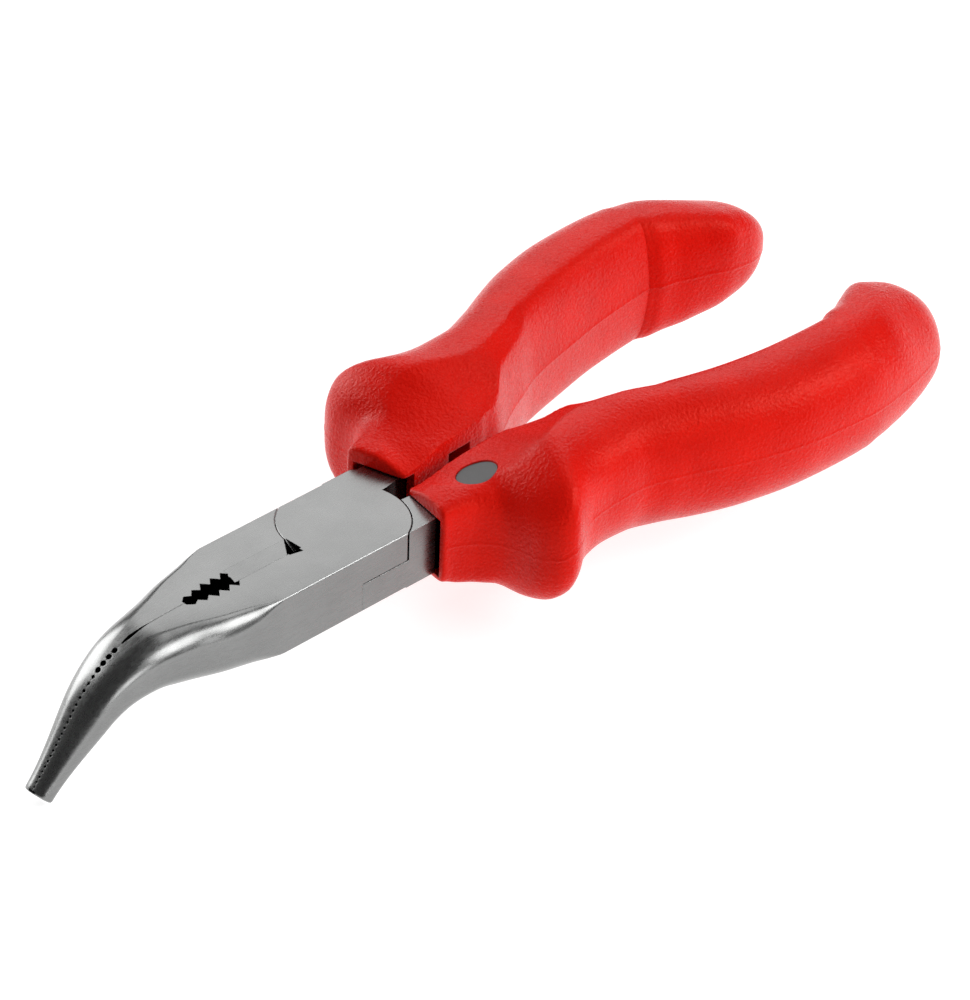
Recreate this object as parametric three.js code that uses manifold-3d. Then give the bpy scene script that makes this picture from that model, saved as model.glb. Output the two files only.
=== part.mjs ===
// Bent nose long nose pliers with moulded handle sleeves, closed, in millimetres.
// +X runs to the nose and +Z up along the pivot. The origin is on the pivot axis, on the top of the head.
// All is modelled about the middle plane of the head (z = 0), and the group is lowered by half the head.
import * as THREE from "three";
import { mergeVertices } from "three/addons/utils/BufferGeometryUtils.js";
import Module from "manifold-3d";

// Head: a flat ground block around a lap joint
const HEAD_THICKNESS = 9;
const HEAD_HALF_WIDTH = 8.5;
const HEAD_REAR_X = -11;
const JOINT_RADIUS = 9.5;
const JOINT_CLEARANCE = 0.08; // on each side of every sliding face
const JAW_GAP = 0.03; // from the parting plane to each jaw
const RIVET_RADIUS = 2.5;
const RIVET_HEAD_RADIUS = 3.8;
const RIVET_TOP_Z = 3;
const TANG_SLOT_HALF = 1.7; // half the slot between the two tangs behind the joint

// Nose: straight out of the head, a round bend downwards, then straight to the tip
const BEND_START_X = 36;
const BEND_RADIUS = 15.4;
const BEND_ANGLE = THREE.MathUtils.degToRad(46);
const NOSE_STRAIGHT = 13;

// Work features of the jaws
const CUTTER_FROM_X = 9;
const CUTTER_TO_X = 20.6;
const CUTTER_WIDE = 2.1;
const CUTTER_NARROW = 1;
const CUTTER_DEPTH = 1;
const GRIP_HOLE_FROM_X = 20.4;
const GRIP_HOLE_TEETH = 5;
const GRIP_HOLE_PITCH = 1.85;
const GRIP_HOLE_VALLEY = 0.9;
const GRIP_HOLE_PEAK = 2;
const TOOTH_COUNT = 24;
const BIG_TEETH = 4;
const TOOTH_FIRST = 5; // along the nose, from the start of the bend
const TOOTH_PITCH = 0.94; // of the first two; it shrinks towards the tip

// Sleeves
const SLEEVE_FRONT_X = -10.1; // of the near sleeve, on its middle
const SLEEVE_FRONT_SET_BACK = 1.9; // how much further back the other sleeve begins
const SLEEVE_END_X = -103.9;
const SLEEVE_STEP_X = -79.6; // inner face steps out to the end bulb here
const CLOSING_X = -96; // the end closes as a quarter round from here
const PLUG_X = -18.4;
const PLUG_Y = 7.5;
const PLUG_RADIUS = 2.85;
const PLUG_SUNK = 0.2; // how far the plug's face lies below the sleeve around it
const PLUG_GAP = 0.08;
const TANG_END_X = -76;
const POCKET_GAP = 0.12;
const MOUTH_GAP = 1.1; // beside the steel, where the sleeve begins
const MOUTH_TOP_GAP = 0.18; // above and below it
const MOUTH_LENGTH = 3.2;
const WINDOW_FROM_X = -26.8; // opening in the inner wall, where the tang shows
const WINDOW_TO_X = -22.3;
const WINDOW_HALF_HEIGHT = 4.7;

const HALF = HEAD_THICKNESS / 2;
const wasm = await Module();
wasm.setup();

// A closed three.js geometry as a solid.
function solid(geometry) {
  const g = geometry.clone();
  g.deleteAttribute("normal");
  g.deleteAttribute("uv");
  const merged = mergeVertices(g, 1e-4);
  return new wasm.Manifold(
    new wasm.Mesh({
      numProp: 3,
      vertProperties: merged.attributes.position.array,
      triVerts: new Uint32Array(merged.index.array),
    }),
  );
}

// A named mesh from a solid.
function piece(name, shape, material) {
  const m = shape.getMesh();
  const g = new THREE.BufferGeometry();
  g.setAttribute("position", new THREE.BufferAttribute(new Float32Array(m.vertProperties), 3));
  g.setIndex(new THREE.BufferAttribute(new Uint32Array(m.triVerts), 1));
  g.computeVertexNormals();
  const mesh = new THREE.Mesh(g, material);
  mesh.name = name;
  return mesh;
}

// A smooth curve through [x, value] pairs, in order of falling or rising x.
function through(...pairs) {
  const sorted = pairs.slice().sort((a, b) => a[0] - b[0]);
  const slope = (i) => {
    if (i === 0 || i === sorted.length - 1) return 0;
    const before = (sorted[i][1] - sorted[i - 1][1]) / (sorted[i][0] - sorted[i - 1][0]);
    const after = (sorted[i + 1][1] - sorted[i][1]) / (sorted[i + 1][0] - sorted[i][0]);
    return before * after <= 0 ? 0 : (2 * before * after) / (before + after);
  };
  return (x) => {
    if (x <= sorted[0][0]) return sorted[0][1];
    if (x >= sorted.at(-1)[0]) return sorted.at(-1)[1];
    const i = sorted.findIndex((p) => p[0] > x) - 1;
    const width = sorted[i + 1][0] - sorted[i][0];
    const t = (x - sorted[i][0]) / width;
    const a = sorted[i][1];
    const b = sorted[i + 1][1];
    const h1 = t * t * (3 - 2 * t);
    return (
      a * (1 - h1) + b * h1 +
      width * t * (1 - t) * ((1 - t) * slope(i) - t * slope(i + 1))
    );
  };
}

// A closed tube whose rings are placed one by one: place(station, index) gives a point of a ring.
function tube(stations, sides, place) {
  const g = new THREE.CylinderGeometry(1, 1, 1, sides, stations - 1);
  const p = g.attributes.position;
  const rings = Array.from({ length: stations }, (_, i) =>
    Array.from({ length: sides }, (_, j) => place(i, j)),
  );
  const middle = (ring) =>
    ring.reduce((sum, v) => sum.add(v), new THREE.Vector3()).divideScalar(sides);
  for (let k = 0; k < p.count; k += 1) {
    const i = Math.round((0.5 - p.getY(k)) * (stations - 1));
    const onAxis = Math.hypot(p.getX(k), p.getZ(k)) < 0.5;
    const turn = Math.atan2(p.getX(k), p.getZ(k)) / (2 * Math.PI);
    const j = ((Math.round(turn * sides) % sides) + sides) % sides;
    const v = onAxis ? middle(rings[i]) : rings[i][j];
    p.setXYZ(k, v.x, v.y, v.z);
  }
  return solid(g);
}

// A flat outline in XY, raised from z0 to z1.
function plate(points, z0, z1) {
  const shape = new THREE.Shape(points.map(([x, y]) => new THREE.Vector2(x, y)));
  const g = new THREE.ExtrudeGeometry(shape, { depth: z1 - z0, bevelEnabled: false });
  return solid(g.translate(0, 0, z0));
}

// A box between two corners.
function box(x0, x1, y0, y1, z0, z1) {
  const g = new THREE.BoxGeometry(x1 - x0, y1 - y0, z1 - z0);
  return solid(g.translate((x0 + x1) / 2, (y0 + y1) / 2, (z0 + z1) / 2));
}

// An upright cylinder on the pivot axis, or on the axis through x, y.
function post(radius, z0, z1, sides = 72, x = 0, y = 0) {
  const g = new THREE.CylinderGeometry(radius, radius, z1 - z0, sides);
  return solid(g.rotateX(Math.PI / 2).translate(x, y, (z0 + z1) / 2));
}

// ---- Head and nose

// Point and heading of the nose's middle line, s millimetres past x = 0.
function noseLine(s) {
  const bend = BEND_RADIUS * BEND_ANGLE;
  const turned = THREE.MathUtils.clamp(s - BEND_START_X, 0, bend);
  const angle = turned / BEND_RADIUS;
  const ahead = Math.max(s - BEND_START_X - bend, 0);
  const straight = Math.min(s, BEND_START_X);
  return {
    x: straight + BEND_RADIUS * Math.sin(angle) + ahead * Math.cos(angle),
    z: -BEND_RADIUS * (1 - Math.cos(angle)) - ahead * Math.sin(angle),
    angle,
  };
}
const TIP_S = BEND_START_X + BEND_RADIUS * BEND_ANGLE + NOSE_STRAIGHT;

// Half width and half height across the nose, along its line
const noseSide = through([22, 8.5], [27, 8.05], [33.5, 6.3], [42, 4.75], [48.4, 3.8], [TIP_S, 2.1]);
const noseHeight = through([30, 4.5], [36, 4.3], [42, 3.65], [48.4, 2.8], [TIP_S, 1.65]);
// Width and height of the corners: nearly flat bevels before the bend, round after it
const cornerWidth = through(
  [19, 0.2], [21, 0.7], [24, 1.8], [28, 2.4], [33.5, 2.9], [42, 3.8], [48.4, 3.2], [TIP_S, 1.8],
);
const cornerHeight = through(
  [19, 0.25], [21, 0.9], [24, 2.1], [28, 2.8], [42, 2.7], [48.4, 2.3], [TIP_S, 1.35],
);
const cornerFlatness = through([26, 1.25], [36, 1.25], [42, 1]);

const NOSE_STATIONS = [
  HEAD_REAR_X, 19, 20, 21, 22.5, 24, 25.5, 27, 29, 31, 33.5, 36, 37.6, 39.2, 40.8, 42.4, 44, 45.6, 47.2,
  48.4, 52.5, 56.5, TIP_S - 0.5, TIP_S,
];
const CORNER_STEPS = 4;
const CORNER_POINTS = CORNER_STEPS + 1;

// One ring of the head: a rectangle with oval corners, from the top of its +Y side round to the -Y side.
function headRing(s, index) {
  const at = noseLine(Math.max(s, 0));
  const x = s < 0 ? s : at.x;
  const end = s > TIP_S - 0.2 ? 0.88 : 1; // the tip's edge is broken
  const side = noseSide(s) * end;
  const height = noseHeight(s) * end;
  const wide = cornerWidth(s) * end;
  const tall = cornerHeight(s) * end;
  const corner = Math.floor(index / CORNER_POINTS);
  const step = (index % CORNER_POINTS) / CORNER_STEPS;
  const right = corner < 2 ? 1 : -1;
  const top = corner === 0 || corner === 3 ? 1 : -1;
  const turn = (Math.PI / 2) * (right === top ? 1 - step : step);
  const out = Math.abs(Math.cos(turn)) ** cornerFlatness(s);
  const rise = Math.sin(turn) ** cornerFlatness(s);
  const y = right * (side - wide + wide * out);
  const up = top * (height - tall + tall * rise);
  return new THREE.Vector3(x + up * Math.sin(at.angle), y, at.z + up * Math.cos(at.angle));
}
const head = tube(NOSE_STATIONS.length, 4 * CORNER_POINTS, (i, j) =>
  headRing(NOSE_STATIONS[i], j),
);

// The tang of a handle, on the +Y side: a tapering bar that leaves the head and runs into the sleeve.
const tangInner = through(
  [-4, TANG_SLOT_HALF], [-9.5, 1.8], [-15, 3], [-25, 6.2], [-40, 11.6], [-60, 18.4], [TANG_END_X, 20.6],
);
const tangOuter = through(
  [-4, HEAD_HALF_WIDTH], [-9.5, 8.5], [-10.3, 7.9], [-11, 7.9], [-15, 9], [-25, 13], [-40, 17.4],
  [-60, 23.4], [TANG_END_X, 24.8],
);
const tangHeight = through([-11, HALF], [-14, 4.3], [-25, 3.6], [-50, 3.2], [TANG_END_X, 2.6]);

// Height of the middle of the tangs and sleeves: they rise above the middle plane of the head.
const tangMiddleZ = through([-11, 0], [-20, 0], [-24, 0.5], [-28, 1.7], [-36, 2.4], [-56, 2.3], [-80, 2.7]);
const sleeveMiddleZ = through(
  [-10.1, 0.5], [-13, 0.2], [-16, 0], [-20, -0.2], [-24, 0.3], [-28, 1.6], [-31, 2.3], [-36, 2.4],
  [-56, 2.3], [-80, 2.7], [-90, 2.7], [-98, 2.3], [-104, 2],
);
const TANG_STATIONS = [-4, -9.5, -10.3, -11, -13, -15, -20, -25, -32, -40, -50, -60, -68, TANG_END_X];

// The tang, or with grow the pocket that clears it.
function tang(grow) {
  const last = TANG_STATIONS.length - 1;
  return tube(TANG_STATIONS.length, 4, (i, j) => {
    const x = TANG_STATIONS[i];
    const y = j < 2 ? tangOuter(x) + grow : tangInner(x) - grow;
    const up = j === 1 || j === 2 ? 1 : -1;
    const z = tangMiddleZ(x) + up * (tangHeight(x) + grow);
    return new THREE.Vector3(i === last ? x - grow : x, y, z);
  });
}

// Zigzag hole between the jaws, for gripping pipe and rod. Its last teeth get smaller.
function gripHole() {
  const steps = 2 * GRIP_HOLE_TEETH;
  const row = Array.from({ length: steps + 1 }, (_, k) => {
    const size = Math.min(1, 0.5 + 0.1 * (steps - k));
    const y = k % 2 ? GRIP_HOLE_PEAK * size : GRIP_HOLE_VALLEY * size;
    return [GRIP_HOLE_FROM_X + (k * GRIP_HOLE_PITCH) / 2, y];
  });
  const back = row.map(([x, y]) => [x, -y]).reverse();
  return plate([...row, ...back], -HALF - 1, HALF + 1);
}

// V groove over the cutting edges: wide on one jaw, narrow on the other, on the top face.
function cutterGroove() {
  const section = new THREE.Shape([
    new THREE.Vector2(0, HALF - CUTTER_DEPTH),
    new THREE.Vector2(CUTTER_NARROW * 1.5, HALF + CUTTER_DEPTH * 0.5),
    new THREE.Vector2(-CUTTER_WIDE * 1.5, HALF + CUTTER_DEPTH * 0.5),
  ]);
  const length = CUTTER_TO_X - CUTTER_FROM_X;
  const g = new THREE.ExtrudeGeometry(section, { depth: length, bevelEnabled: false });
  // the section's x becomes Y and its y becomes Z
  g.rotateX(Math.PI / 2).rotateZ(Math.PI / 2);
  return solid(g.translate(CUTTER_FROM_X, 0, 0));
}

// Round grooves across the biting faces of the nose, smaller towards the tip.
function teeth() {
  const all = [];
  for (let k = 0; k < TOOTH_COUNT; k += 1) {
    const s = BEND_START_X + TOOTH_FIRST + k * (TOOTH_PITCH - 0.004 * k);
    const at = noseLine(s);
    const radius = k < BIG_TEETH ? 0.44 : 0.3 - 0.005 * k;
    const g = new THREE.CylinderGeometry(radius, radius, 2 * noseHeight(s) + 2, 6);
    g.rotateX(Math.PI / 2).rotateY(at.angle);
    all.push(solid(g.translate(at.x, 0, at.z)));
  }
  return wasm.Manifold.union(all);
}

// Slim lens of relief between the jaws where the bend begins, just behind the teeth.
function bendRelief() {
  const from = noseLine(BEND_START_X - 0.5).x;
  const to = noseLine(BEND_START_X + TOOTH_FIRST).x;
  const widest = from + (to - from) * 0.75;
  const outline = [[from, 0], [widest, -0.3], [to, -0.15], [to, 0.15], [widest, 0.3]];
  return plate(outline, -HALF - 3, HALF + 1);
}

// Small open corner where the cutting edges meet the joint disc.
const cornerOutline = [[8.6, -2], [9.4, -2], [11.4, 1.2], [9.4, 1.7], [8.6, 1.7]];
const cornerRelief = plate(cornerOutline, -HALF - 1, HALF + 1)
  .subtract(post(JOINT_RADIUS - JOINT_CLEARANCE, -HALF - 2, HALF + 2));

const cutterTop = cutterGroove();
const cutterBottom = cutterTop.rotate([180, 0, 0]);
const work = wasm.Manifold.union([
  gripHole(), cutterTop, cutterBottom, teeth(), bendRelief(), cornerRelief,
]);

// One forging: its jaw on jawSide, its tang on the other side, its joint disc above (1) or below (-1).
function forging(jawSide, discUp) {
  const far = 80;
  const jawArea = box(0, far, Math.min(0, jawSide * far), Math.max(0, jawSide * far), -far, far);
  const jaw = head
    .intersect(jawArea)
    .subtract(box(0, far, -JAW_GAP, JAW_GAP, -far, far));
  const rear = box(-far, 0, -far, far, -far, far);
  const disc = post(JOINT_RADIUS - JOINT_CLEARANCE, -HALF, HALF, 72).intersect(head);
  const bar = tang(0).intersect(rear);
  const handle = jawSide < 0 ? bar : bar.mirror([0, 1, 0]);
  const z0 = discUp > 0 ? -far : -JOINT_CLEARANCE;
  const z1 = discUp > 0 ? JOINT_CLEARANCE : far;
  const otherDisc = post(JOINT_RADIUS + JOINT_CLEARANCE, z0, z1, 72);
  return wasm.Manifold.union([jaw, disc, handle]).subtract(otherDisc).subtract(work);
}

const boreA = post(RIVET_RADIUS + 0.04, -HALF, RIVET_TOP_Z + 0.05, 40);
const sink = (gap) =>
  new THREE.LatheGeometry(
    [
      [0, -HALF - (gap ? 1 : 0)],
      [RIVET_HEAD_RADIUS + gap, -HALF - (gap ? 1 : 0)],
      [RIVET_HEAD_RADIUS + gap, -HALF + 0.3],
      [RIVET_RADIUS + gap, -HALF + 1.6],
      [RIVET_RADIUS + gap, gap ? HALF : RIVET_TOP_Z],
      [0, gap ? HALF : RIVET_TOP_Z],
    ].map(([r, z]) => new THREE.Vector2(r, z)),
    40,
  ).rotateX(Math.PI / 2);

const halfA = forging(1, 1).subtract(boreA);
const halfB = forging(-1, -1).subtract(solid(sink(JOINT_CLEARANCE)));
const rivet = solid(sink(0));

// ---- Handle sleeve on the +Y side

// Profiles along the sleeve. As far as the finger guard its rings lean forward on the outer side.
const sleeveLean = through([-11, 0.22], [-17, 0.33], [-27, 0.33], [-50, 0]);
const sleeveInner = through(
  [-10.1, 1.4], [-28.2, 2.2], [-29.2, 2.6], [-34, 4.5], [-40, 7.6], [-45, 10], [-50, 12.4], [-60, 15],
  [-70, 16.6], [-79.2, 17.1],
);
const bulbInner = through([-79.6, 16.9], [-81.2, 15.9], [-84, 14.9], [-88, 13.2], [-94, 11.3], [-104, 11]);
const EDGE_TO_X = -50;
// As far back as that, the inner wall stands up to this height, then the sleeve slopes up to a crest
// over this distance out.
const innerEdgeZ = through(
  [-12, 5.2], [-14, 5.5], [-18, 6.6], [-28, 7.7], [-34, 8.8], [-38, 10.6], [-42, 10.5], [-46, 10.6],
  [EDGE_TO_X, 12],
);
const crestY = through(
  [-12, 5], [-16, 8], [-20, 10.5], [-25, 13], [-29, 12.5], [-36, 10], [-44, 12], [EDGE_TO_X, 14.5],
);
// Lean of the inner side of the end bulb, per millimetre of height.
const bulbShear = through([-84, 0], [-94, 0.12]);
const sleeveOuter = through(
  [-10.1, 10.6], [-15.5, 11.9], [-19.2, 14.6], [-21, 17.6], [-22.2, 20.5], [-23.7, 22.5], [-25.5, 24],
  [-27.2, 24.6], [-28.6, 24.1], [-30.2, 22.7], [-32, 21.8], [-36, 21.2], [-40, 21.2], [-45, 23],
  [-50, 25.3], [-57, 28], [-66, 30], [-76, 30.6], [-86, 29.4], [-92, 27.9], [-98, 25.7], [-104, 23.4],
);
const sleeveHeight = through(
  [-10.1, 6.2], [-13, 6.9], [-16, 7.5], [-19, 8.4], [-22, 9.7], [-25, 10.8], [-28, 11.1], [-31, 10.7],
  [-36, 10.3], [-44, 10.7], [-56, 11], [-78, 10.8], [-86, 10.1], [-92, 9], [-98, 7.5], [-104, 6.8],
);
// How much the outer side stands higher than the inner side, per millimetre across.
const sleeveTilt = through([-25, 0], [-32, 0.05], [-58, 0.11], [-72, 0.06], [-84, 0]);
const outerSquareness = through(
  [-12, 9], [-16, 7], [-21, 3.3], [-27, 3.3], [-34, 2.8], [-46, 2.3], [-80, 2.2], [-98, 2.1],
);
// How far the ridge along the middle of the inner side stands out.
const innerRidge = through([-28, 0], [-33, 1.2], [-78, 1.2], [-86, 0.4], [-92, 0.2]);
const innerDepth = through([-12, 3], [-40, 3.6], [-78, 3.6], [-86, 6], [-98, 6]);
const innerSquareness = through([-12, 9], [-20, 5], [-40, 3.4], [-78, 3.4], [-92, 3.2], [-98, 2.6]);
const SLEEVE_SIDES = 28;
const FRONT_STATIONS = [0, -0.25, -0.8]; // back from the front, round its broken edge
const FRONT_INSETS = [0.55, 0.15, 0];
const SLEEVE_STATIONS = [
  -13.5, -15.5, -17.5, -19.2, -20.4, -21.4, -22.4, -23.6, -25, -26.6, -28.4, -30.4,
  -33, -36, -39, -42.5, -46, -50, -54, -59, -64, -69, -74, -79.3, -79.8, -81.2, -83.5, -86.5, -90, -93,
  CLOSING_X, -98, -99.8, -101.4, -102.6, -103.5, SLEEVE_END_X,
];

// One point of a sleeve's ring: a flat inner side and a bowed outer side that meet over y = seam.
function sleevePoint(station, inset, index) {
  const turn = (2 * Math.PI * index) / SLEEVE_SIDES;
  const across = Math.cos(turn);
  const up = Math.sin(turn);
  const s = station;
  const inner = inset + (s > SLEEVE_STEP_X ? sleeveInner(s) : bulbInner(s));
  const outer = sleeveOuter(s) - inset;
  const seam = inner + innerDepth(s);
  const reach = across > 0 ? outer - seam : inner - seam;
  const power = 2 / (across > 0 ? outerSquareness(s) : innerSquareness(s));
  const past = Math.max((CLOSING_X - station) / (CLOSING_X - SLEEVE_END_X), 0);
  const shrink = Math.sqrt(1 - 0.985 * past * past);
  const middle = (inner + outer) / 2;
  const rise = Math.abs(up) ** power;
  const ridge = across < 0 ? innerRidge(s) * (1 - rise) : 0;
  const y = middle + (seam + reach * Math.abs(across) ** power - ridge - middle) * shrink;
  const height = sleeveHeight(s) - inset;
  const edge = innerEdgeZ(s) - sleeveMiddleZ(s) - inset;
  const slope = (0.98 * height - edge) / (crestY(s) - inner);
  const edged = Math.min(height * rise, edge + (y - inner) * slope);
  const level = s > EDGE_TO_X ? edged : height * rise;
  const z = Math.sign(up) * level * shrink;
  const middleZ = sleeveMiddleZ(s) + sleeveTilt(s) * (y - middle);
  const lean = sleeveLean(s) * (y - 6);
  return new THREE.Vector3(station + lean, y - bulbShear(s) * z, middleZ + z);
}

// The outside of a sleeve, with its front set back.
function sleeveSkin(setBack) {
  const front = FRONT_STATIONS.map((step) => SLEEVE_FRONT_X - setBack + step);
  const stations = [...front, ...SLEEVE_STATIONS.filter((x) => x < front.at(-1) - 0.4)];
  return tube(stations.length, SLEEVE_SIDES, (i, j) =>
    sleevePoint(stations[i], FRONT_INSETS[i] ?? 0, j),
  );
}

// The skin with the mouth and pocket for the tang, and the hole for the plug above (1) or below (-1).
function sleeve(skin, setBack, plugSide) {
  const top = HALF + MOUTH_TOP_GAP;
  const back = SLEEVE_FRONT_X - setBack - MOUTH_LENGTH;
  const mouth = box(back, 0, 0.9, HEAD_HALF_WIDTH + MOUTH_GAP, -top, top);
  const from = Math.min(0, plugSide * 20);
  const hole = post(PLUG_RADIUS + PLUG_GAP, from, from + 20, 32, PLUG_X, PLUG_Y);
  const window = box(WINDOW_FROM_X, WINDOW_TO_X, 0, 7, -WINDOW_HALF_HEIGHT, WINDOW_HALF_HEIGHT);
  return skin.subtract(tang(POCKET_GAP).add(mouth)).subtract(hole).subtract(window);
}

// The plug in that hole, with its face a little below the skin.
function plug(skin, plugSide) {
  const from = plugSide > 0 ? HALF + 0.2 : -20;
  const blank = post(PLUG_RADIUS, from, from + 20 - HALF - 0.2, 32, PLUG_X, PLUG_Y);
  return blank.intersect(skin.translate([0, 0, -plugSide * PLUG_SUNK]));
}
const skinB = sleeveSkin(0);
const skinA = sleeveSkin(SLEEVE_FRONT_SET_BACK);
const sleeveB = sleeve(skinB, 0, 1);
const sleeveA = sleeve(skinA, SLEEVE_FRONT_SET_BACK, -1).mirror([0, 1, 0]);
const plugB = plug(skinB, 1);
const plugA = plug(skinA, -1).mirror([0, 1, 0]);

// ---- Scene

const steel = (roughness) =>
  new THREE.MeshStandardMaterial({ color: 0x9a9c99, roughness, metalness: 1 });
const red = () => new THREE.MeshStandardMaterial({ color: 0xdc2318, roughness: 0.45, metalness: 0 });
const grey = () => new THREE.MeshStandardMaterial({ color: 0x4d4f4f, roughness: 0.5, metalness: 0 });

const pliers = new THREE.Group();
pliers.add(piece("jaw_half_a", halfA, steel(0.32)));
pliers.add(piece("jaw_half_b", halfB, steel(0.32)));
pliers.add(piece("pivot_rivet", rivet, steel(0.28)));
pliers.add(piece("handle_sleeve_a", sleeveA, red()));
pliers.add(piece("handle_sleeve_b", sleeveB, red()));
pliers.add(piece("sleeve_plug_a", plugA, grey()));
pliers.add(piece("sleeve_plug_b", plugB, grey()));
pliers.position.z = -HALF;

export default pliers;
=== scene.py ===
import math

import bmesh
import bpy
import numpy as np
from mathutils import Matrix, Vector


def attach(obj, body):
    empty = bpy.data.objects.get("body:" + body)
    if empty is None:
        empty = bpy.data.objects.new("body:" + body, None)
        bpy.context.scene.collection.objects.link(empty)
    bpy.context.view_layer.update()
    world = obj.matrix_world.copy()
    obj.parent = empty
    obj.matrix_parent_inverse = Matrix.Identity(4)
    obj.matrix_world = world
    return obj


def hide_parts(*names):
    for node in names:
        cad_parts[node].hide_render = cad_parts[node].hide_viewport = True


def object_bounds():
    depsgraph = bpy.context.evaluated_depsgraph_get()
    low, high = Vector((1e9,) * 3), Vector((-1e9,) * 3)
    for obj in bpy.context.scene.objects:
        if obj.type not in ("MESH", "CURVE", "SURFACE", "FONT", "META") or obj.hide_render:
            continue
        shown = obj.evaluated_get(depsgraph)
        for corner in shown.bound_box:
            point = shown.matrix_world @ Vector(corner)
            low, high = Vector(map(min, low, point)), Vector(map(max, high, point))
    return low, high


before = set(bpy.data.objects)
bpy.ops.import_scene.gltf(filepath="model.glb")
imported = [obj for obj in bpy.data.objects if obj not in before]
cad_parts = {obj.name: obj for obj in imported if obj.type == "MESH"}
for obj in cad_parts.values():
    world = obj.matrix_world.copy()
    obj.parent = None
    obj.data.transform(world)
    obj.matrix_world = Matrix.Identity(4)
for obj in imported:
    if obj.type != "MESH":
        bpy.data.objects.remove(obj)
CAD_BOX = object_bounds()

MM = 0.001
FAR = 80.0  # past everything

HALF = 4.5  # of the head's thickness
HEAD_HALF_WIDTH = 8.5
HEAD_REAR = -11.0
JOINT_RADIUS = 9.5
CLEARANCE = 0.08
DISC_EDGE = 0.05
JAW_GAP = 0.03
SLOT_HALF = 1.7
CORNER_STEPS = 10
DISC_SIDES = 160
ROUND_SIDES = 96

RIVET_RADIUS = 2.5
RIVET_HEAD = 3.8
RIVET_HEAD_RIM = 0.3
RIVET_HEAD_DEPTH = 1.6
RIVET_TOP = 3.0
RIVET_EDGE = (0.15, 0.12)
BORE_GAP = 0.04
BORE_TOP_GAP = 0.05

BEND_START = 36.0
BEND_RADIUS = 15.4
BEND_ANGLE = math.radians(46)
BEND_LENGTH = BEND_RADIUS * BEND_ANGLE
NOSE_STRAIGHT = 13
TIP_S = BEND_START + BEND_LENGTH + NOSE_STRAIGHT
TIP_EDGE = ((0.12, 0.96), (0, 0.87))  # back from the tip, and how much of the full size is left there

GRIP_FROM = 20.4
GRIP_STEP = 0.925  # half the pitch of its teeth
GRIP_POINTS = 11
GRIP_PEAK, GRIP_VALLEY = 2.0, 0.9
CUTTER_FROM, CUTTER_TO = 9.0, 20.6
TOOTH_COUNT = 24
BIG_TEETH = 4
BIG_TOOTH_RADIUS = 0.44
TOOTH_FIRST = 5
TOOTH_PITCH = 0.94
TOOTH_SIDES = 20

SLEEVE_FRONT = -10.1
SET_BACK = 1.9
SLEEVE_STEP = -79.6
CLOSING = -96.0
SLEEVE_END = -103.9
END_BLUNTNESS = 0.985  # 1 would close the end in a point
EDGE_TO = -50
CREST_SHARE = 0.98  # of the full height, which the slope reaches at the crest
TANG_END = -76.0
POCKET_GAP = 0.12
MOUTH_GAP, MOUTH_TOP_GAP, MOUTH_LENGTH = 1.1, 0.18, 3.2
MOUTH_INNER = 0.9
WINDOW_FROM, WINDOW_TO = -26.8, -22.3
WINDOW_DEPTH, WINDOW_HALF_HEIGHT = 7, 4.7
PLUG_X, PLUG_Y = -18.4, 7.5
PLUG_RADIUS = 2.85
PLUG_SUNK = 0.2
PLUG_GAP = 0.08
PLUG_FOOT_GAP = 0.2
PLUG_REACH = 20


# ---- Curves and meshes

def through(*pairs):
    """A smooth curve through (x, value) pairs, without overshoot."""
    pts = sorted(pairs)
    xs = np.array([p[0] for p in pts], float)
    ys = np.array([p[1] for p in pts], float)
    d = np.diff(ys) / np.diff(xs)
    slope = np.zeros(len(xs))
    for i in range(1, len(xs) - 1):
        if d[i - 1] * d[i] > 0:
            slope[i] = 2 * d[i - 1] * d[i] / (d[i - 1] + d[i])

    def at(x):
        if x <= xs[0]:
            return float(ys[0])
        if x >= xs[-1]:
            return float(ys[-1])
        i = int(np.searchsorted(xs, x, side="right")) - 1
        width = xs[i + 1] - xs[i]
        t = (x - xs[i]) / width
        h = t * t * (3 - 2 * t)
        bend = width * t * (1 - t) * ((1 - t) * slope[i] - t * slope[i + 1])
        return float(ys[i] * (1 - h) + ys[i + 1] * h + bend)

    return at


def spread(stops, most):
    """Stops joined by equal steps no longer than most."""
    out = [stops[0]]
    for a, b in zip(stops, stops[1:]):
        n = max(1, math.ceil(abs(b - a) / most))
        out += [a + (b - a) * k / n for k in range(1, n + 1)]
    return out


def new_object(name, verts, faces):
    mesh = bpy.data.meshes.new(name)
    mesh.from_pydata([tuple(v) for v in verts], [], faces)
    mesh.update()
    obj = bpy.data.objects.new(name, mesh)
    bpy.context.scene.collection.objects.link(obj)
    return obj


def facing_out(obj):
    bm = bmesh.new()
    bm.from_mesh(obj.data)
    bmesh.ops.recalc_face_normals(bm, faces=bm.faces)
    bm.to_mesh(obj.data)
    bm.free()
    return obj


def tube(name, rings):
    """A closed tube through rings of the same number of points."""
    n = len(rings[0])
    verts = [p for ring in rings for p in ring]
    faces = []
    for i in range(len(rings) - 1):
        for j in range(n):
            k = (j + 1) % n
            faces.append((i * n + j, i * n + k, (i + 1) * n + k, (i + 1) * n + j))
    faces.append(tuple(range(n)))
    faces.append(tuple((len(rings) - 1) * n + j for j in range(n)))
    return facing_out(new_object(name, verts, faces))


def prism(name, outline, z0, z1):
    return tube(name, [[(x, y, z) for x, y in outline] for z in (z0, z1)])


def box(name, x0, x1, y0, y1, z0, z1):
    return prism(name, [(x0, y0), (x1, y0), (x1, y1), (x0, y1)], z0, z1)


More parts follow.
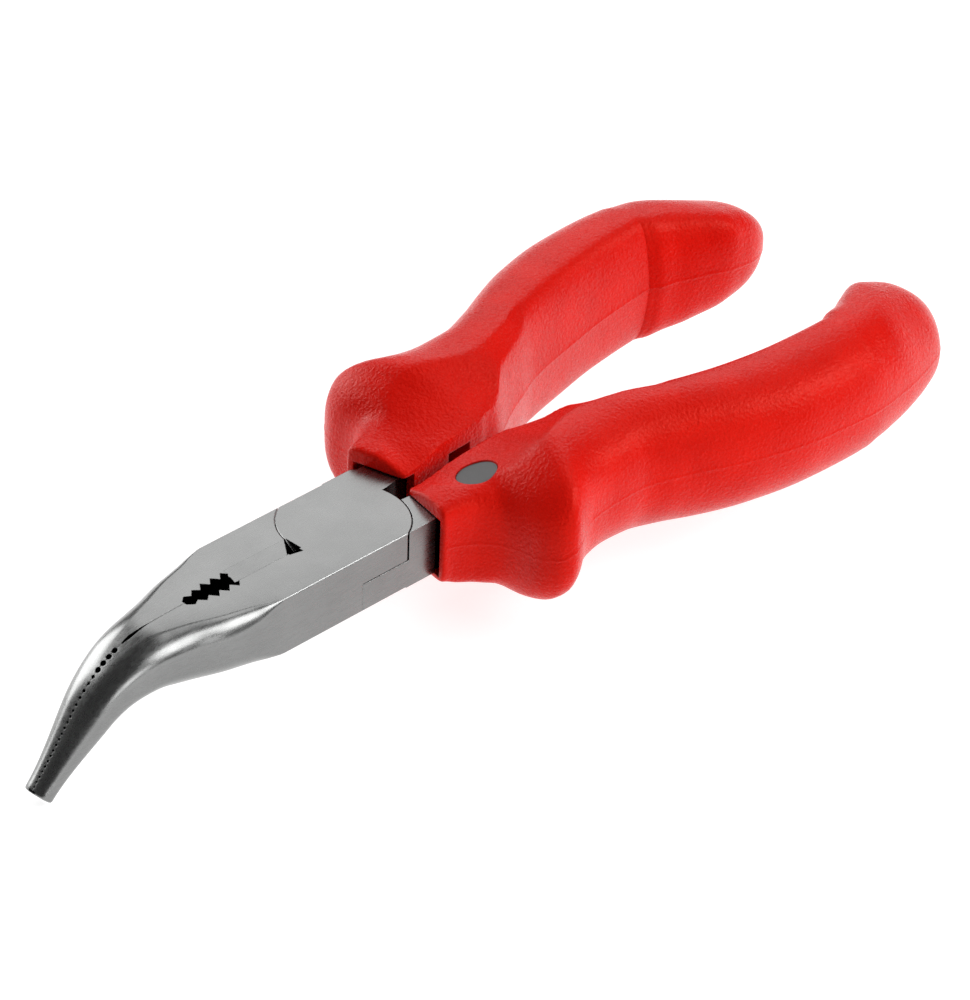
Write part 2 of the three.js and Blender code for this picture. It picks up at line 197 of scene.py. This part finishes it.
def turned(name, profile, sides, x=0.0, y=0.0):
    """A closed solid of revolution about the upright axis at x, y, from (radius, height) pairs."""
    turns = [2 * math.pi * k / sides for k in range(sides)]
    rings = []
    for radius, z in profile:
        rings.append([(x + radius * math.cos(turn), y + radius * math.sin(turn), z) for turn in turns])
    return tube(name, rings)


def post(name, radius, z0, z1, sides, x=0.0, y=0.0):
    return turned(name, [(radius, z0), (radius, z1)], sides, x, y)


def cut(a, b, how="DIFFERENCE"):
    """a becomes a combined with b, and b is removed."""
    modifier = a.modifiers.new("combine", "BOOLEAN")
    modifier.object = b
    modifier.operation = how
    modifier.solver = "MANIFOLD"
    graph = bpy.context.evaluated_depsgraph_get()
    mesh = bpy.data.meshes.new_from_object(a.evaluated_get(graph))
    a.modifiers.clear()
    old = a.data
    a.data = mesh
    bpy.data.meshes.remove(old)
    bpy.data.objects.remove(b)
    return a


def copy_of(obj, name):
    new = obj.copy()
    new.data = obj.data.copy()
    new.name = name
    bpy.context.scene.collection.objects.link(new)
    return new


def mirrored(obj):
    """obj flipped in Y."""
    obj.data.transform(Matrix.Diagonal((1, -1, 1, 1)))
    obj.data.flip_normals()
    return obj


def place(obj, body, nodes, look, sharp=30.0):
    """Puts a finished piece in the frame on its body."""
    obj.data.transform(Matrix.Scale(MM, 4) @ Matrix.Translation((0, 0, -HALF)))
    obj.data.materials.clear()
    obj.data.materials.append(look)
    obj.data.shade_smooth()
    obj.data.set_sharp_from_angle(angle=math.radians(sharp))
    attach(obj, body)
    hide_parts(*nodes)
    return obj


# ---- Head and nose

def nose_line(s):
    """x, z and heading of the nose's middle line, s past the pivot."""
    turned_by = min(max(s - BEND_START, 0), BEND_LENGTH)
    angle = turned_by / BEND_RADIUS
    ahead = max(s - BEND_START - BEND_LENGTH, 0)
    x = min(s, BEND_START) + BEND_RADIUS * math.sin(angle) + ahead * math.cos(angle)
    z = -BEND_RADIUS * (1 - math.cos(angle)) - ahead * math.sin(angle)
    return x, z, angle


nose_side = through((22, 8.5), (27, 8.05), (33.5, 6.3), (42, 4.75), (48.4, 3.8), (TIP_S, 2.1))
nose_height = through((30, 4.5), (36, 4.3), (42, 3.65), (48.4, 2.8), (TIP_S, 1.65))
# width and height of the corners: nearly flat bevels before the bend, round after it
corner_width = through(
    (19, 0.2), (21, 0.7), (24, 1.8), (28, 2.4), (33.5, 2.9), (42, 3.8), (48.4, 3.2), (TIP_S, 1.8),
)
corner_height = through((19, 0.25), (21, 0.9), (24, 2.1), (28, 2.8), (42, 2.7), (48.4, 2.3), (TIP_S, 1.35))
corner_flatness = through((26, 1.25), (36, 1.25), (42, 1))


def head_ring(s, shrink=1.0):
    """A rectangle across the head or nose, with oval corners."""
    x, z, angle = nose_line(max(s, 0))
    x = s if s < 0 else x
    side, height = nose_side(s) * shrink, nose_height(s) * shrink
    wide, tall = corner_width(s) * shrink, corner_height(s) * shrink
    ring = []
    for right, top in ((1, 1), (1, -1), (-1, -1), (-1, 1)):
        for step in range(CORNER_STEPS + 1):
            t = step / CORNER_STEPS
            turn = math.pi / 2 * (1 - t if right == top else t)
            y = right * (side - wide + wide * abs(math.cos(turn)) ** corner_flatness(s))
            up = top * (height - tall + tall * math.sin(turn) ** corner_flatness(s))
            ring.append((x + up * math.sin(angle), y, z + up * math.cos(angle)))
    return ring


head_stations = [HEAD_REAR, 0.0, 10.0] + spread([19, TIP_S - 0.35], 0.5)
head_rings = [head_ring(s) for s in head_stations]
head_rings += [head_ring(TIP_S - behind, share) for behind, share in TIP_EDGE]
head = tube("head", head_rings)

tang_inner = through(
    (-4, SLOT_HALF), (-9.5, 1.8), (-15, 3), (-25, 6.2), (-40, 11.6), (-60, 18.4), (TANG_END, 20.6),
)
tang_outer = through(
    (-4, HEAD_HALF_WIDTH), (-9.5, 8.5), (-10.3, 7.9), (-11, 7.9), (-15, 9), (-25, 13), (-40, 17.4),
    (-60, 23.4), (TANG_END, 24.8),
)
tang_height = through((-11, HALF), (-14, 4.3), (-25, 3.6), (-50, 3.2), (TANG_END, 2.6))
tang_middle = through((-11, 0), (-20, 0), (-24, 0.5), (-28, 1.7), (-36, 2.4), (-56, 2.3), (-80, 2.7))
TANG_STATIONS = [-4, -9.5, -10.3, -11, -13, -15, -20, -25, -32, -40, -50, -60, -68, TANG_END]


def tang(name, grow):
    """The bar on the +Y side that runs from the head into the sleeve."""
    rings = []
    for x in TANG_STATIONS:
        outer, inner = tang_outer(x) + grow, tang_inner(x) - grow
        low, high = tang_middle(x) - tang_height(x) - grow, tang_middle(x) + tang_height(x) + grow
        along = x - grow if x == TANG_END else x
        rings.append([(along, outer, low), (along, outer, high), (along, inner, high), (along, inner, low)])
    return tube(name, rings)


def grip_hole():
    """A hole through both jaws, toothed along its sides and narrower towards the nose."""
    row = []
    for k in range(GRIP_POINTS):
        size = min(1, 0.5 + 0.1 * (GRIP_POINTS - 1 - k))
        row.append((GRIP_FROM + k * GRIP_STEP, (GRIP_PEAK if k % 2 else GRIP_VALLEY) * size))
    return prism("grip_hole", row + [(x, -y) for x, y in reversed(row)], -HALF - 1, HALF + 1)


def cutter_groove(up):
    """A slanting groove over the cutting edges; up is 1 for the top and -1 for the underside."""
    section = [(0, 3.5), (1.5, 5.0), (-3.15, 5.0)]
    rings = [[(x, y * up, z * up) for y, z in section] for x in (CUTTER_FROM, CUTTER_TO)]
    return tube("cutter_groove", rings)


def tooth(k):
    """A round notch across both jaws; notches shrink towards the tip."""
    s = BEND_START + TOOTH_FIRST + k * (TOOTH_PITCH - 0.004 * k)
    x, z, angle = nose_line(s)
    radius = BIG_TOOTH_RADIUS if k < BIG_TEETH else 0.3 - 0.005 * k
    reach = nose_height(s) + 1
    rings = []
    for up in (-reach, reach):
        rings.append([
            (
                x + up * math.sin(angle) + radius * math.cos(a) * math.cos(angle),
                radius * math.sin(a),
                z + up * math.cos(angle) - radius * math.cos(a) * math.sin(angle),
            )
            for a in (2 * math.pi * i / TOOTH_SIDES for i in range(TOOTH_SIDES))
        ])
    return tube("tooth", rings)


def bend_relief():
    """A slender gap between the jaws at the bend."""
    x0, x1 = nose_line(BEND_START - 0.5)[0], nose_line(BEND_START + TOOTH_FIRST)[0]
    xm = x0 + (x1 - x0) * 0.75
    outline = [(x0, 0), (xm, -0.3), (x1, -0.15), (x1, 0.15), (xm, 0.3)]
    return prism("bend_relief", outline, -HALF - 3, HALF + 1)


def disc(name, radius, z0, z1, edge):
    profile = [(radius - edge, z0), (radius, z0 + edge), (radius, z1 - edge), (radius - edge, z1)]
    return turned(name, profile, DISC_SIDES)


def corner_relief():
    """A notch between the disc and the cutting edges."""
    outline = [(8.6, -2), (9.4, -2), (11.4, 1.2), (9.4, 1.7), (8.6, 1.7)]
    piece = prism("corner_relief", outline, -HALF - 1, HALF + 1)
    return cut(piece, disc("inside", JOINT_RADIUS - CLEARANCE, -HALF - 2, HALF + 2, 0.01))


def forging(name, jaw_side, disc_up):
    """One half: its jaw, its disc of the lap joint and its tang, which is on the other side."""
    jaw = copy_of(head, name)
    y0, y1 = sorted((jaw_side * JAW_GAP, jaw_side * FAR))
    cut(jaw, box("jaw_area", 0, FAR, y0, y1, -FAR, FAR), "INTERSECT")
    plate = copy_of(head, "plate")
    cut(plate, disc("lap", JOINT_RADIUS - CLEARANCE, -HALF, HALF, DISC_EDGE), "INTERSECT")
    bar = tang("bar", 0)
    cut(bar, box("rear", -FAR, 0, -FAR, FAR, -FAR, FAR), "INTERSECT")
    if jaw_side > 0:
        mirrored(bar)
    cut(jaw, plate, "UNION")
    cut(jaw, bar, "UNION")
    z0, z1 = (-FAR, CLEARANCE) if disc_up > 0 else (-CLEARANCE, FAR)
    cut(jaw, post("other_disc", JOINT_RADIUS + CLEARANCE, z0, z1, DISC_SIDES))
    cut(jaw, grip_hole())
    cut(jaw, cutter_groove(1))
    cut(jaw, cutter_groove(-1))
    for k in range(TOOTH_COUNT):
        cut(jaw, tooth(k))
    cut(jaw, bend_relief())
    cut(jaw, corner_relief())
    return jaw


def rivet_shape(name, gap):
    """The rivet, or with a gap the sink that it sits in."""
    low = -HALF - (1 if gap else 0)
    high = HALF + 1 if gap else RIVET_TOP
    profile = [
        (RIVET_HEAD + gap, low),
        (RIVET_HEAD + gap, -HALF + RIVET_HEAD_RIM),
        (RIVET_RADIUS + gap, -HALF + RIVET_HEAD_DEPTH),
        (RIVET_RADIUS + gap, high),
    ]
    if not gap:
        across, along = RIVET_EDGE
        profile[0:1] = [(RIVET_HEAD - across, low), (RIVET_HEAD, low + along)]
    return turned(name, profile, ROUND_SIDES)


# ---- Handle sleeves

middle_z = through(
    (-10.1, 0.5), (-13, 0.2), (-16, 0), (-20, -0.2), (-24, 0.3), (-28, 1.6), (-31, 2.3), (-36, 2.4),
    (-56, 2.3), (-80, 2.7), (-90, 2.7), (-98, 2.3), (-104, 2),
)
sleeve_lean = through((-11, 0.22), (-17, 0.33), (-27, 0.33), (-50, 0))
sleeve_inner = through(
    (-10.1, 1.4), (-28.2, 2.2), (-29.2, 2.6), (-34, 4.5), (-40, 7.6), (-45, 10), (-50, 12.4), (-60, 15),
    (-70, 16.6), (-79.2, 17.1),
)
bulb_inner = through((-79.6, 16.9), (-81.2, 15.9), (-84, 14.9), (-88, 13.2), (-94, 11.3), (-104, 11))
# as far back as EDGE_TO, the inner wall stands up to this height, and a slope leads from there
# up to a crest further out
inner_edge = through(
    (-12, 5.2), (-14, 5.5), (-18, 6.6), (-28, 7.7), (-34, 8.8), (-38, 10.6), (-42, 10.5), (-46, 10.6),
    (EDGE_TO, 12),
)
crest_y = through(
    (-12, 5), (-16, 8), (-20, 10.5), (-25, 13), (-29, 12.5), (-36, 10), (-44, 12), (EDGE_TO, 14.5),
)
# lean of the inner side of the end bulb, per millimetre of height
bulb_shear = through((-84, 0), (-94, 0.12))
sleeve_outer = through(
    (-10.1, 10.6), (-15.5, 11.9), (-19.2, 14.6), (-21, 17.6), (-22.2, 20.5), (-23.7, 22.5), (-25.5, 24),
    (-27.2, 24.6), (-28.6, 24.1), (-30.2, 22.7), (-32, 21.8), (-36, 21.2), (-40, 21.2), (-45, 23),
    (-50, 25.3), (-57, 28), (-66, 30), (-76, 30.6), (-86, 29.4), (-92, 27.9), (-98, 25.7), (-104, 23.4),
)
sleeve_height = through(
    (-10.1, 6.2), (-13, 6.9), (-16, 7.5), (-19, 8.4), (-22, 9.7), (-25, 10.8), (-28, 11.1), (-31, 10.7),
    (-36, 10.3), (-44, 10.7), (-56, 11), (-78, 10.8), (-86, 10.1), (-92, 9), (-98, 7.5), (-104, 6.8),
)
sleeve_tilt = through((-25, 0), (-32, 0.05), (-58, 0.11), (-72, 0.06), (-84, 0))
outer_squareness = through(
    (-12, 9), (-16, 7), (-21, 3.3), (-27, 3.3), (-34, 2.8), (-46, 2.3), (-80, 2.2), (-98, 2.1),
)
inner_ridge = through((-28, 0), (-33, 1.2), (-78, 1.2), (-86, 0.4), (-92, 0.2))
inner_depth = through((-12, 3), (-40, 3.6), (-78, 3.6), (-86, 6), (-98, 6))
inner_squareness = through((-12, 9), (-20, 5), (-40, 3.4), (-78, 3.4), (-92, 3.2), (-98, 2.6))

# lengths along each quarter of a ring at which points sit: close together by the parting line
PARTING = [0.0, 0.12, 0.26, 0.5]
PARTING_FIN = np.array([0.07, 0.05])  # how far its first points stand out
FIN_FROM_END = 0.6
QUARTER_STEPS = 30
FINE_TURNS = np.linspace(0, math.pi / 2, 500)
FRONT_ROUND = 0.6
FRONT_STEPS = (0, 0.05, 0.13, 0.25, 0.4)
STEP_HALF = 0.1  # half the length of the step before the end bulb
CLOSING_RINGS = 18


def sleeve_quarter(s, inset, side, top):
    """Points of a quarter ring, from the parting line to the seam over the middle."""
    inner = inset + (sleeve_inner(s) if s > SLEEVE_STEP else bulb_inner(s))
    outer = sleeve_outer(s) - inset
    height = sleeve_height(s) - inset
    seam = inner + inner_depth(s)
    power = 2 / (outer_squareness(s) if side > 0 else inner_squareness(s))
    past = max((CLOSING - s) / (CLOSING - SLEEVE_END), 0)
    shrink = math.sqrt(1 - END_BLUNTNESS * past * past)
    middle = (inner + outer) / 2
    across = np.cos(FINE_TURNS) ** power
    across[-1] = 0.0
    rise = np.sin(FINE_TURNS) ** power
    reach = outer - seam if side > 0 else inner - seam
    ridge = inner_ridge(s) * (1 - rise) if side < 0 else 0
    y = middle + (seam + reach * across - ridge - middle) * shrink
    level = height * rise
    if s > EDGE_TO:
        edge = inner_edge(s) - middle_z(s) - inset
        slope = (CREST_SHARE * height - edge) / (crest_y(s) - inner)
        level = np.minimum(level, edge + (y - inner) * slope)
    z = top * level * shrink
    length = np.concatenate([[0], np.cumsum(np.hypot(np.diff(y), np.diff(z)))])
    stops = np.linspace(0, length[-1], len(PARTING) + QUARTER_STEPS)
    if length[-1] > 1:
        stops = np.array(PARTING + list(np.linspace(PARTING[-1], length[-1], QUARTER_STEPS + 1)[1:]))
    y = np.interp(stops, length, y)
    z = np.interp(stops, length, z)
    # the mould's parting line stands out a little
    if inset == 0 and s > SLEEVE_END + FIN_FROM_END:
        y[:2] += side * PARTING_FIN
    height_there = middle_z(s) + sleeve_tilt(s) * (y - middle)
    x = s + sleeve_lean(s) * (y - 6)
    return list(zip(x.tolist(), (y - bulb_shear(s) * z).tolist(), (height_there + z).tolist()))


def sleeve_ring(s, inset):
    """A ring across the sleeve: its four quarters in turn."""
    a = sleeve_quarter(s, inset, 1, 1)
    b = sleeve_quarter(s, inset, -1, 1)
    c = sleeve_quarter(s, inset, -1, -1)
    d = sleeve_quarter(s, inset, 1, -1)
    return a + b[::-1][1:] + c[1:] + d[::-1][1:-1]


def sleeve_skin(name, set_back):
    """The outside of a sleeve, with its front set back."""
    front = SLEEVE_FRONT - set_back
    rings = []
    for step in FRONT_STEPS:
        left = FRONT_ROUND - step
        rings.append(sleeve_ring(front - step, FRONT_ROUND - math.sqrt(FRONT_ROUND ** 2 - left ** 2)))
    stations = spread([front - FRONT_ROUND, -34, SLEEVE_STEP + 0.35], 0.5)
    stations += [SLEEVE_STEP + STEP_HALF, SLEEVE_STEP - STEP_HALF]
    stations += spread([SLEEVE_STEP - 0.5, CLOSING], 0.6)
    for k in range(1, CLOSING_RINGS + 1):
        stations.append(CLOSING + (SLEEVE_END - CLOSING) * math.sin(math.pi / 2 * k / CLOSING_RINGS))
    return tube(name, rings + [sleeve_ring(s, 0) for s in stations])


def sleeve(skin, set_back, plug_side):
    """The skin with the mouth, the pocket for the tang, the window and the hole for the plug."""
    top = HALF + MOUTH_TOP_GAP
    back = SLEEVE_FRONT - set_back - MOUTH_LENGTH
    cut(skin, box("mouth", back, 0, MOUTH_INNER, HEAD_HALF_WIDTH + MOUTH_GAP, -top, top))
    cut(skin, tang("pocket", POCKET_GAP))
    z0, z1 = sorted((0, plug_side * PLUG_REACH))
    cut(skin, post("plug_hole", PLUG_RADIUS + PLUG_GAP, z0, z1, ROUND_SIDES, PLUG_X, PLUG_Y))
    tall = WINDOW_HALF_HEIGHT
    cut(skin, box("window", WINDOW_FROM, WINDOW_TO, 0, WINDOW_DEPTH, -tall, tall))
    return skin


def plug(name, skin, plug_side):
    """The plug in that hole, with its face a little below the skin."""
    z0, z1 = sorted((plug_side * (HALF + PLUG_FOOT_GAP), plug_side * PLUG_REACH))
    blank = post(name, PLUG_RADIUS, z0, z1, ROUND_SIDES, PLUG_X, PLUG_Y)
    limit = copy_of(skin, "limit")
    limit.data.transform(Matrix.Translation((0, 0, -plug_side * PLUG_SUNK)))
    return cut(blank, limit, "INTERSECT")


# ---- Materials

def material(name):
    mat = bpy.data.materials.new(name)
    mat.use_nodes = True
    nodes, links = mat.node_tree.nodes, mat.node_tree.links
    return mat, nodes, links, nodes["Principled BSDF"]


def add(nodes, kind, **values):
    node = nodes.new(kind)
    for key, value in values.items():
        if hasattr(node, key):
            setattr(node, key, value)
        else:
            node.inputs[key.replace("_", " ")].default_value = value
    return node


def ramp(nodes, stops):
    node = nodes.new("ShaderNodeValToRGB")
    element = node.color_ramp.elements
    while len(element) < len(stops):
        element.new(0.5)
    for e, (at, value) in zip(element, stops):
        e.position = at
        e.color = (*value, 1) if hasattr(value, "__len__") else (value, value, value, 1)
    return node


def math_node(nodes, links, operation, *values):
    node = nodes.new("ShaderNodeMath")
    node.operation = operation
    for socket, value in zip(node.inputs, values):
        if isinstance(value, (int, float)):
            socket.default_value = value
        else:
            links.new(value, socket)
    return node.outputs["Value"]


def texture(nodes, links, kind, stretch=(1, 1, 1), **values):
    """A texture in the object's own coordinates, in metres."""
    coord = nodes.new("ShaderNodeTexCoord")
    mapping = nodes.new("ShaderNodeMapping")
    mapping.inputs["Scale"].default_value = stretch
    links.new(coord.outputs["Object"], mapping.inputs["Vector"])
    node = add(nodes, kind, **values)
    links.new(mapping.outputs["Vector"], node.inputs["Vector"])
    return node


def noise(nodes, links, scale, detail, rough, stretch=(1, 1, 1)):
    node = texture(nodes, links, "ShaderNodeTexNoise", stretch, Scale=scale, Detail=detail, Roughness=rough)
    return node.outputs["Fac"]


def ramped(nodes, links, value, stops):
    node = ramp(nodes, stops)
    links.new(value, node.inputs["Fac"])
    return node.outputs["Color"]


def mixed(nodes, links, how, factor, a, b):
    """Colour a mixed with b; factor and b may be constants."""
    node = nodes.new("ShaderNodeMix")
    node.data_type = "RGBA"
    node.blend_type = how
    for socket, value in (("Factor", factor), ("A", a), ("B", b)):
        if isinstance(value, (float, tuple)):
            node.inputs[socket].default_value = value
        else:
            links.new(value, node.inputs[socket])
    return node.outputs["Result"]


def bumped(nodes, links, height, strength, distance, normal=None):
    node = add(nodes, "ShaderNodeBump", Strength=strength, Distance=distance)
    links.new(height, node.inputs["Height"])
    if normal:
        links.new(normal, node.inputs["Normal"])
    return node.outputs["Normal"]


def soft_edge(nodes, radius):
    return add(nodes, "ShaderNodeBevel", samples=4, Radius=radius).outputs["Normal"]


STEEP = 0.5  # a wall's normal has less than this much height
GAP_HALF = 0.0023
BEFORE_BEND = 0.033
NOTCH_HALF = 0.0006
BEHIND_HEAD = -0.00955
# near-black painted shade for the walls inside the gaps, where shade falls
PAINTED_SHADE_BLACK = (0.006, 0.006, 0.006, 1)


def painted_shade_walls(nodes, links):
    """1 on the steep walls between the jaws, in the notches and behind the head, where shade is painted in.
    """
    def calc(operation, *values):
        return math_node(nodes, links, operation, *values)

    geometry = nodes.new("ShaderNodeNewGeometry")
    facing = nodes.new("ShaderNodeSeparateXYZ")
    links.new(geometry.outputs["True Normal"], facing.inputs["Vector"])
    coord = nodes.new("ShaderNodeTexCoord")
    position = nodes.new("ShaderNodeSeparateXYZ")
    links.new(coord.outputs["Object"], position.inputs["Vector"])
    steep = calc("LESS_THAN", calc("ABSOLUTE", facing.outputs["Z"]), STEEP)
    off_middle = calc("ABSOLUTE", position.outputs["Y"])
    before_bend = calc("LESS_THAN", position.outputs["X"], BEFORE_BEND)
    between = calc("MULTIPLY", calc("LESS_THAN", off_middle, GAP_HALF), before_bend)
    notches = calc("LESS_THAN", off_middle, NOTCH_HALF)
    behind = calc("LESS_THAN", position.outputs["X"], BEHIND_HEAD)
    gaps = calc("MAXIMUM", calc("MAXIMUM", between, notches), behind)
    return calc("MULTIPLY", steep, gaps)


def steel(name, tone, rough):
    mat, nodes, links, shader = material(name)
    # fine grinding lines along the tool, slow clouds, and a grain of about a fifth of a millimetre
    lines = noise(nodes, links, 1100.0, 3.0, 0.6, (0.35, 2.0, 2.0))
    cloud = noise(nodes, links, 130.0, 4.0, 0.55)
    grain = noise(nodes, links, 5200.0, 2.0, 0.5)
    shades = [(0.3, [c * 0.94 for c in tone]), (0.7, [min(1, c * 1.05) for c in tone])]
    colour = ramped(nodes, links, cloud, shades)
    streak = ramped(nodes, links, lines, [(0.3, 0.95), (0.7, 1.03)])
    bright = mixed(nodes, links, "MULTIPLY", 1.0, colour, streak)
    # painted shade: steep walls between the jaws, in the notches and behind the head are made near-black
    base = mixed(nodes, links, "MIX", painted_shade_walls(nodes, links), bright, PAINTED_SHADE_BLACK)
    links.new(base, shader.inputs["Base Color"])
    shader.inputs["Metallic"].default_value = 1.0
    gloss = ramped(nodes, links, lines, [(0.25, rough * 0.85), (0.75, rough * 1.2)])
    links.new(gloss, shader.inputs["Roughness"])
    ground = bumped(nodes, links, lines, 0.10, 0.00001, soft_edge(nodes, 0.00012))
    links.new(bumped(nodes, links, grain, 0.12, 0.00001, ground), shader.inputs["Normal"])
    return mat


def red_plastic(name):
    mat, nodes, links, shader = material(name)
    cloud = noise(nodes, links, 160.0, 3.0, 0.5)
    colour = ramped(nodes, links, cloud, [(0.25, (0.58, 0.006, 0.003)), (0.75, (0.68, 0.009, 0.0045))])
    links.new(colour, shader.inputs["Base Color"])
    # spark-eroded grain: crinkles and pits of about half a millimetre
    crinkle = noise(nodes, links, 2600.0, 2.0, 0.6)
    pits = texture(nodes, links, "ShaderNodeTexVoronoi", Scale=1700.0).outputs["Distance"]
    gloss = ramped(nodes, links, crinkle, [(0.3, 0.22), (0.7, 0.34)])
    links.new(gloss, shader.inputs["Roughness"])
    shader.inputs["Specular IOR Level"].default_value = 0.6
    shader.inputs["IOR"].default_value = 1.28
    shader.inputs["Specular Tint"].default_value = (1.0, 0.20, 0.13, 1)
    pitted = bumped(nodes, links, pits, 0.55, 0.0001, soft_edge(nodes, 0.00025))
    links.new(bumped(nodes, links, crinkle, 0.8, 0.00012, pitted), shader.inputs["Normal"])
    return mat


def grey_plastic(name):
    mat, nodes, links, shader = material(name)
    cloud = noise(nodes, links, 900.0, 4.0, 0.6)
    colour = ramped(nodes, links, cloud, [(0.3, (0.075, 0.080, 0.080)), (0.7, (0.095, 0.100, 0.100))])
    links.new(colour, shader.inputs["Base Color"])
    gloss = ramped(nodes, links, cloud, [(0.3, 0.5), (0.7, 0.65)])
    links.new(gloss, shader.inputs["Roughness"])
    links.new(bumped(nodes, links, cloud, 0.2, 0.00003), shader.inputs["Normal"])
    return mat


steel_mat = steel("ground_steel", (0.25, 0.252, 0.25), 0.27)
rivet_mat = steel("rivet_steel", (0.23, 0.23, 0.23), 0.34)
red_mat = red_plastic("moulded_red")
grey_mat = grey_plastic("plug_grey")

# edges are drawn sharp from these angles up, in degrees
STEEL_SHARP = 22
SLEEVE_SHARP = 38

# ---- Pieces

half_a = forging("forging_a", 1, 1)
cut(half_a, post("bore", RIVET_RADIUS + BORE_GAP, -HALF, RIVET_TOP + BORE_TOP_GAP, ROUND_SIDES))
half_b = forging("forging_b", -1, -1)
cut(half_b, rivet_shape("sink", CLEARANCE))
bpy.data.objects.remove(head)
place(half_a, "half_a", ["jaw_half_a"], steel_mat, STEEL_SHARP)
place(half_b, "half_b", ["jaw_half_b"], steel_mat, STEEL_SHARP)
place(rivet_shape("rivet", 0), "half_a", ["pivot_rivet"], rivet_mat)

sleeve_b = sleeve_skin("sleeve_b", 0)
plug_b = plug("plug_b", sleeve_b, 1)
sleeve(sleeve_b, 0, 1)
sleeve_a = sleeve_skin("sleeve_a", SET_BACK)
plug_a = plug("plug_a", sleeve_a, -1)
sleeve(sleeve_a, SET_BACK, -1)
mirrored(sleeve_a)
mirrored(plug_a)
place(sleeve_b, "half_b", ["handle_sleeve_b"], red_mat, SLEEVE_SHARP)
place(sleeve_a, "half_a", ["handle_sleeve_a"], red_mat, SLEEVE_SHARP)
place(plug_b, "half_b", ["sleeve_plug_b"], grey_mat)
place(plug_a, "half_a", ["sleeve_plug_a"], grey_mat)

# ---- Floor, light and camera

FLOOR_HALF = 3
FLOOR_GAP = 0.0004
LIGHT_DISTANCE = 0.9
CENTRE = Vector((-0.02, 0, 0))

lowest = CAD_BOX[0][2]
floor_corners = [(x * FLOOR_HALF, y * FLOOR_HALF, 0) for x, y in ((-1, -1), (1, -1), (1, 1), (-1, 1))]
floor = new_object("floor", floor_corners, [(0, 1, 2, 3)])
floor.location.z = lowest - FLOOR_GAP
floor_mat, nodes, links, shader = material("pale_floor")
shader.inputs["Base Color"].default_value = (0.5, 0.5, 0.5, 1)
shader.inputs["Emission Color"].default_value = (1, 1, 1, 1)
shader.inputs["Emission Strength"].default_value = 0.75
shader.inputs["Roughness"].default_value = 0.9
floor.data.materials.append(floor_mat)


def softbox(name, direction, width, height, power):
    """A rectangular lamp in this direction from the tool, facing it."""
    data = bpy.data.lights.new(name, "AREA")
    data.shape = "RECTANGLE"
    data.size, data.size_y = width, height
    data.energy = power
    light = bpy.data.objects.new(name, data)
    light.location = CENTRE + Vector(direction).normalized() * LIGHT_DISTANCE
    light.rotation_euler = (CENTRE - light.location).to_track_quat("-Z", "Y").to_euler()
    bpy.context.scene.collection.objects.link(light)


softbox("key", (-0.60, 0.60, 0.48), 0.34, 0.34, 2.9)
softbox("bevel", (-0.25, 0.72, 0.64), 0.45, 0.45, 3.2)
softbox("back", (-0.61, -0.575, 0.55), 0.6, 0.6, 1.9)
softbox("top", (-0.45, 0.05, 0.85), 0.5, 0.5, 1.4)
softbox("left", (0.20, -1.0, 0.45), 0.7, 0.7, 6.5)
softbox("right", (0.25, 1.0, 0.25), 0.4, 0.3, 1.2)

world = bpy.data.worlds.new("studio")
world.use_nodes = True
world.node_tree.nodes["Background"].inputs["Color"].default_value = (1, 1, 1, 1)
world.node_tree.nodes["Background"].inputs["Strength"].default_value = 0.08
bpy.context.scene.world = world
bpy.context.scene.view_settings.view_transform = "Standard"

LENS = 166.27  # both in millimetres
SENSOR_WIDTH = 36

camera_data = bpy.data.cameras.new("camera")
camera_data.sensor_fit = "AUTO"
camera_data.sensor_width = SENSOR_WIDTH
camera_data.lens = LENS
camera_data.clip_start = 0.01
camera = bpy.data.objects.new("camera", camera_data)
# the camera's own axes, and its place in metres
right = Vector((-0.7003, 0.7132, 0.0288))
up = Vector((-0.3741, -0.4011, 0.8362))
back = Vector((0.6079, 0.5748, 0.5477))
eye = Vector((0.37230, 0.37873, 0.35149))
camera.matrix_world = Matrix((
    (right.x, up.x, back.x, eye.x),
    (right.y, up.y, back.y, eye.y),
    (right.z, up.z, back.z, eye.z),
    (0, 0, 0, 1),
))
bpy.context.scene.collection.objects.link(camera)
bpy.context.scene.camera = camera

bpy.context.view_layer.update()
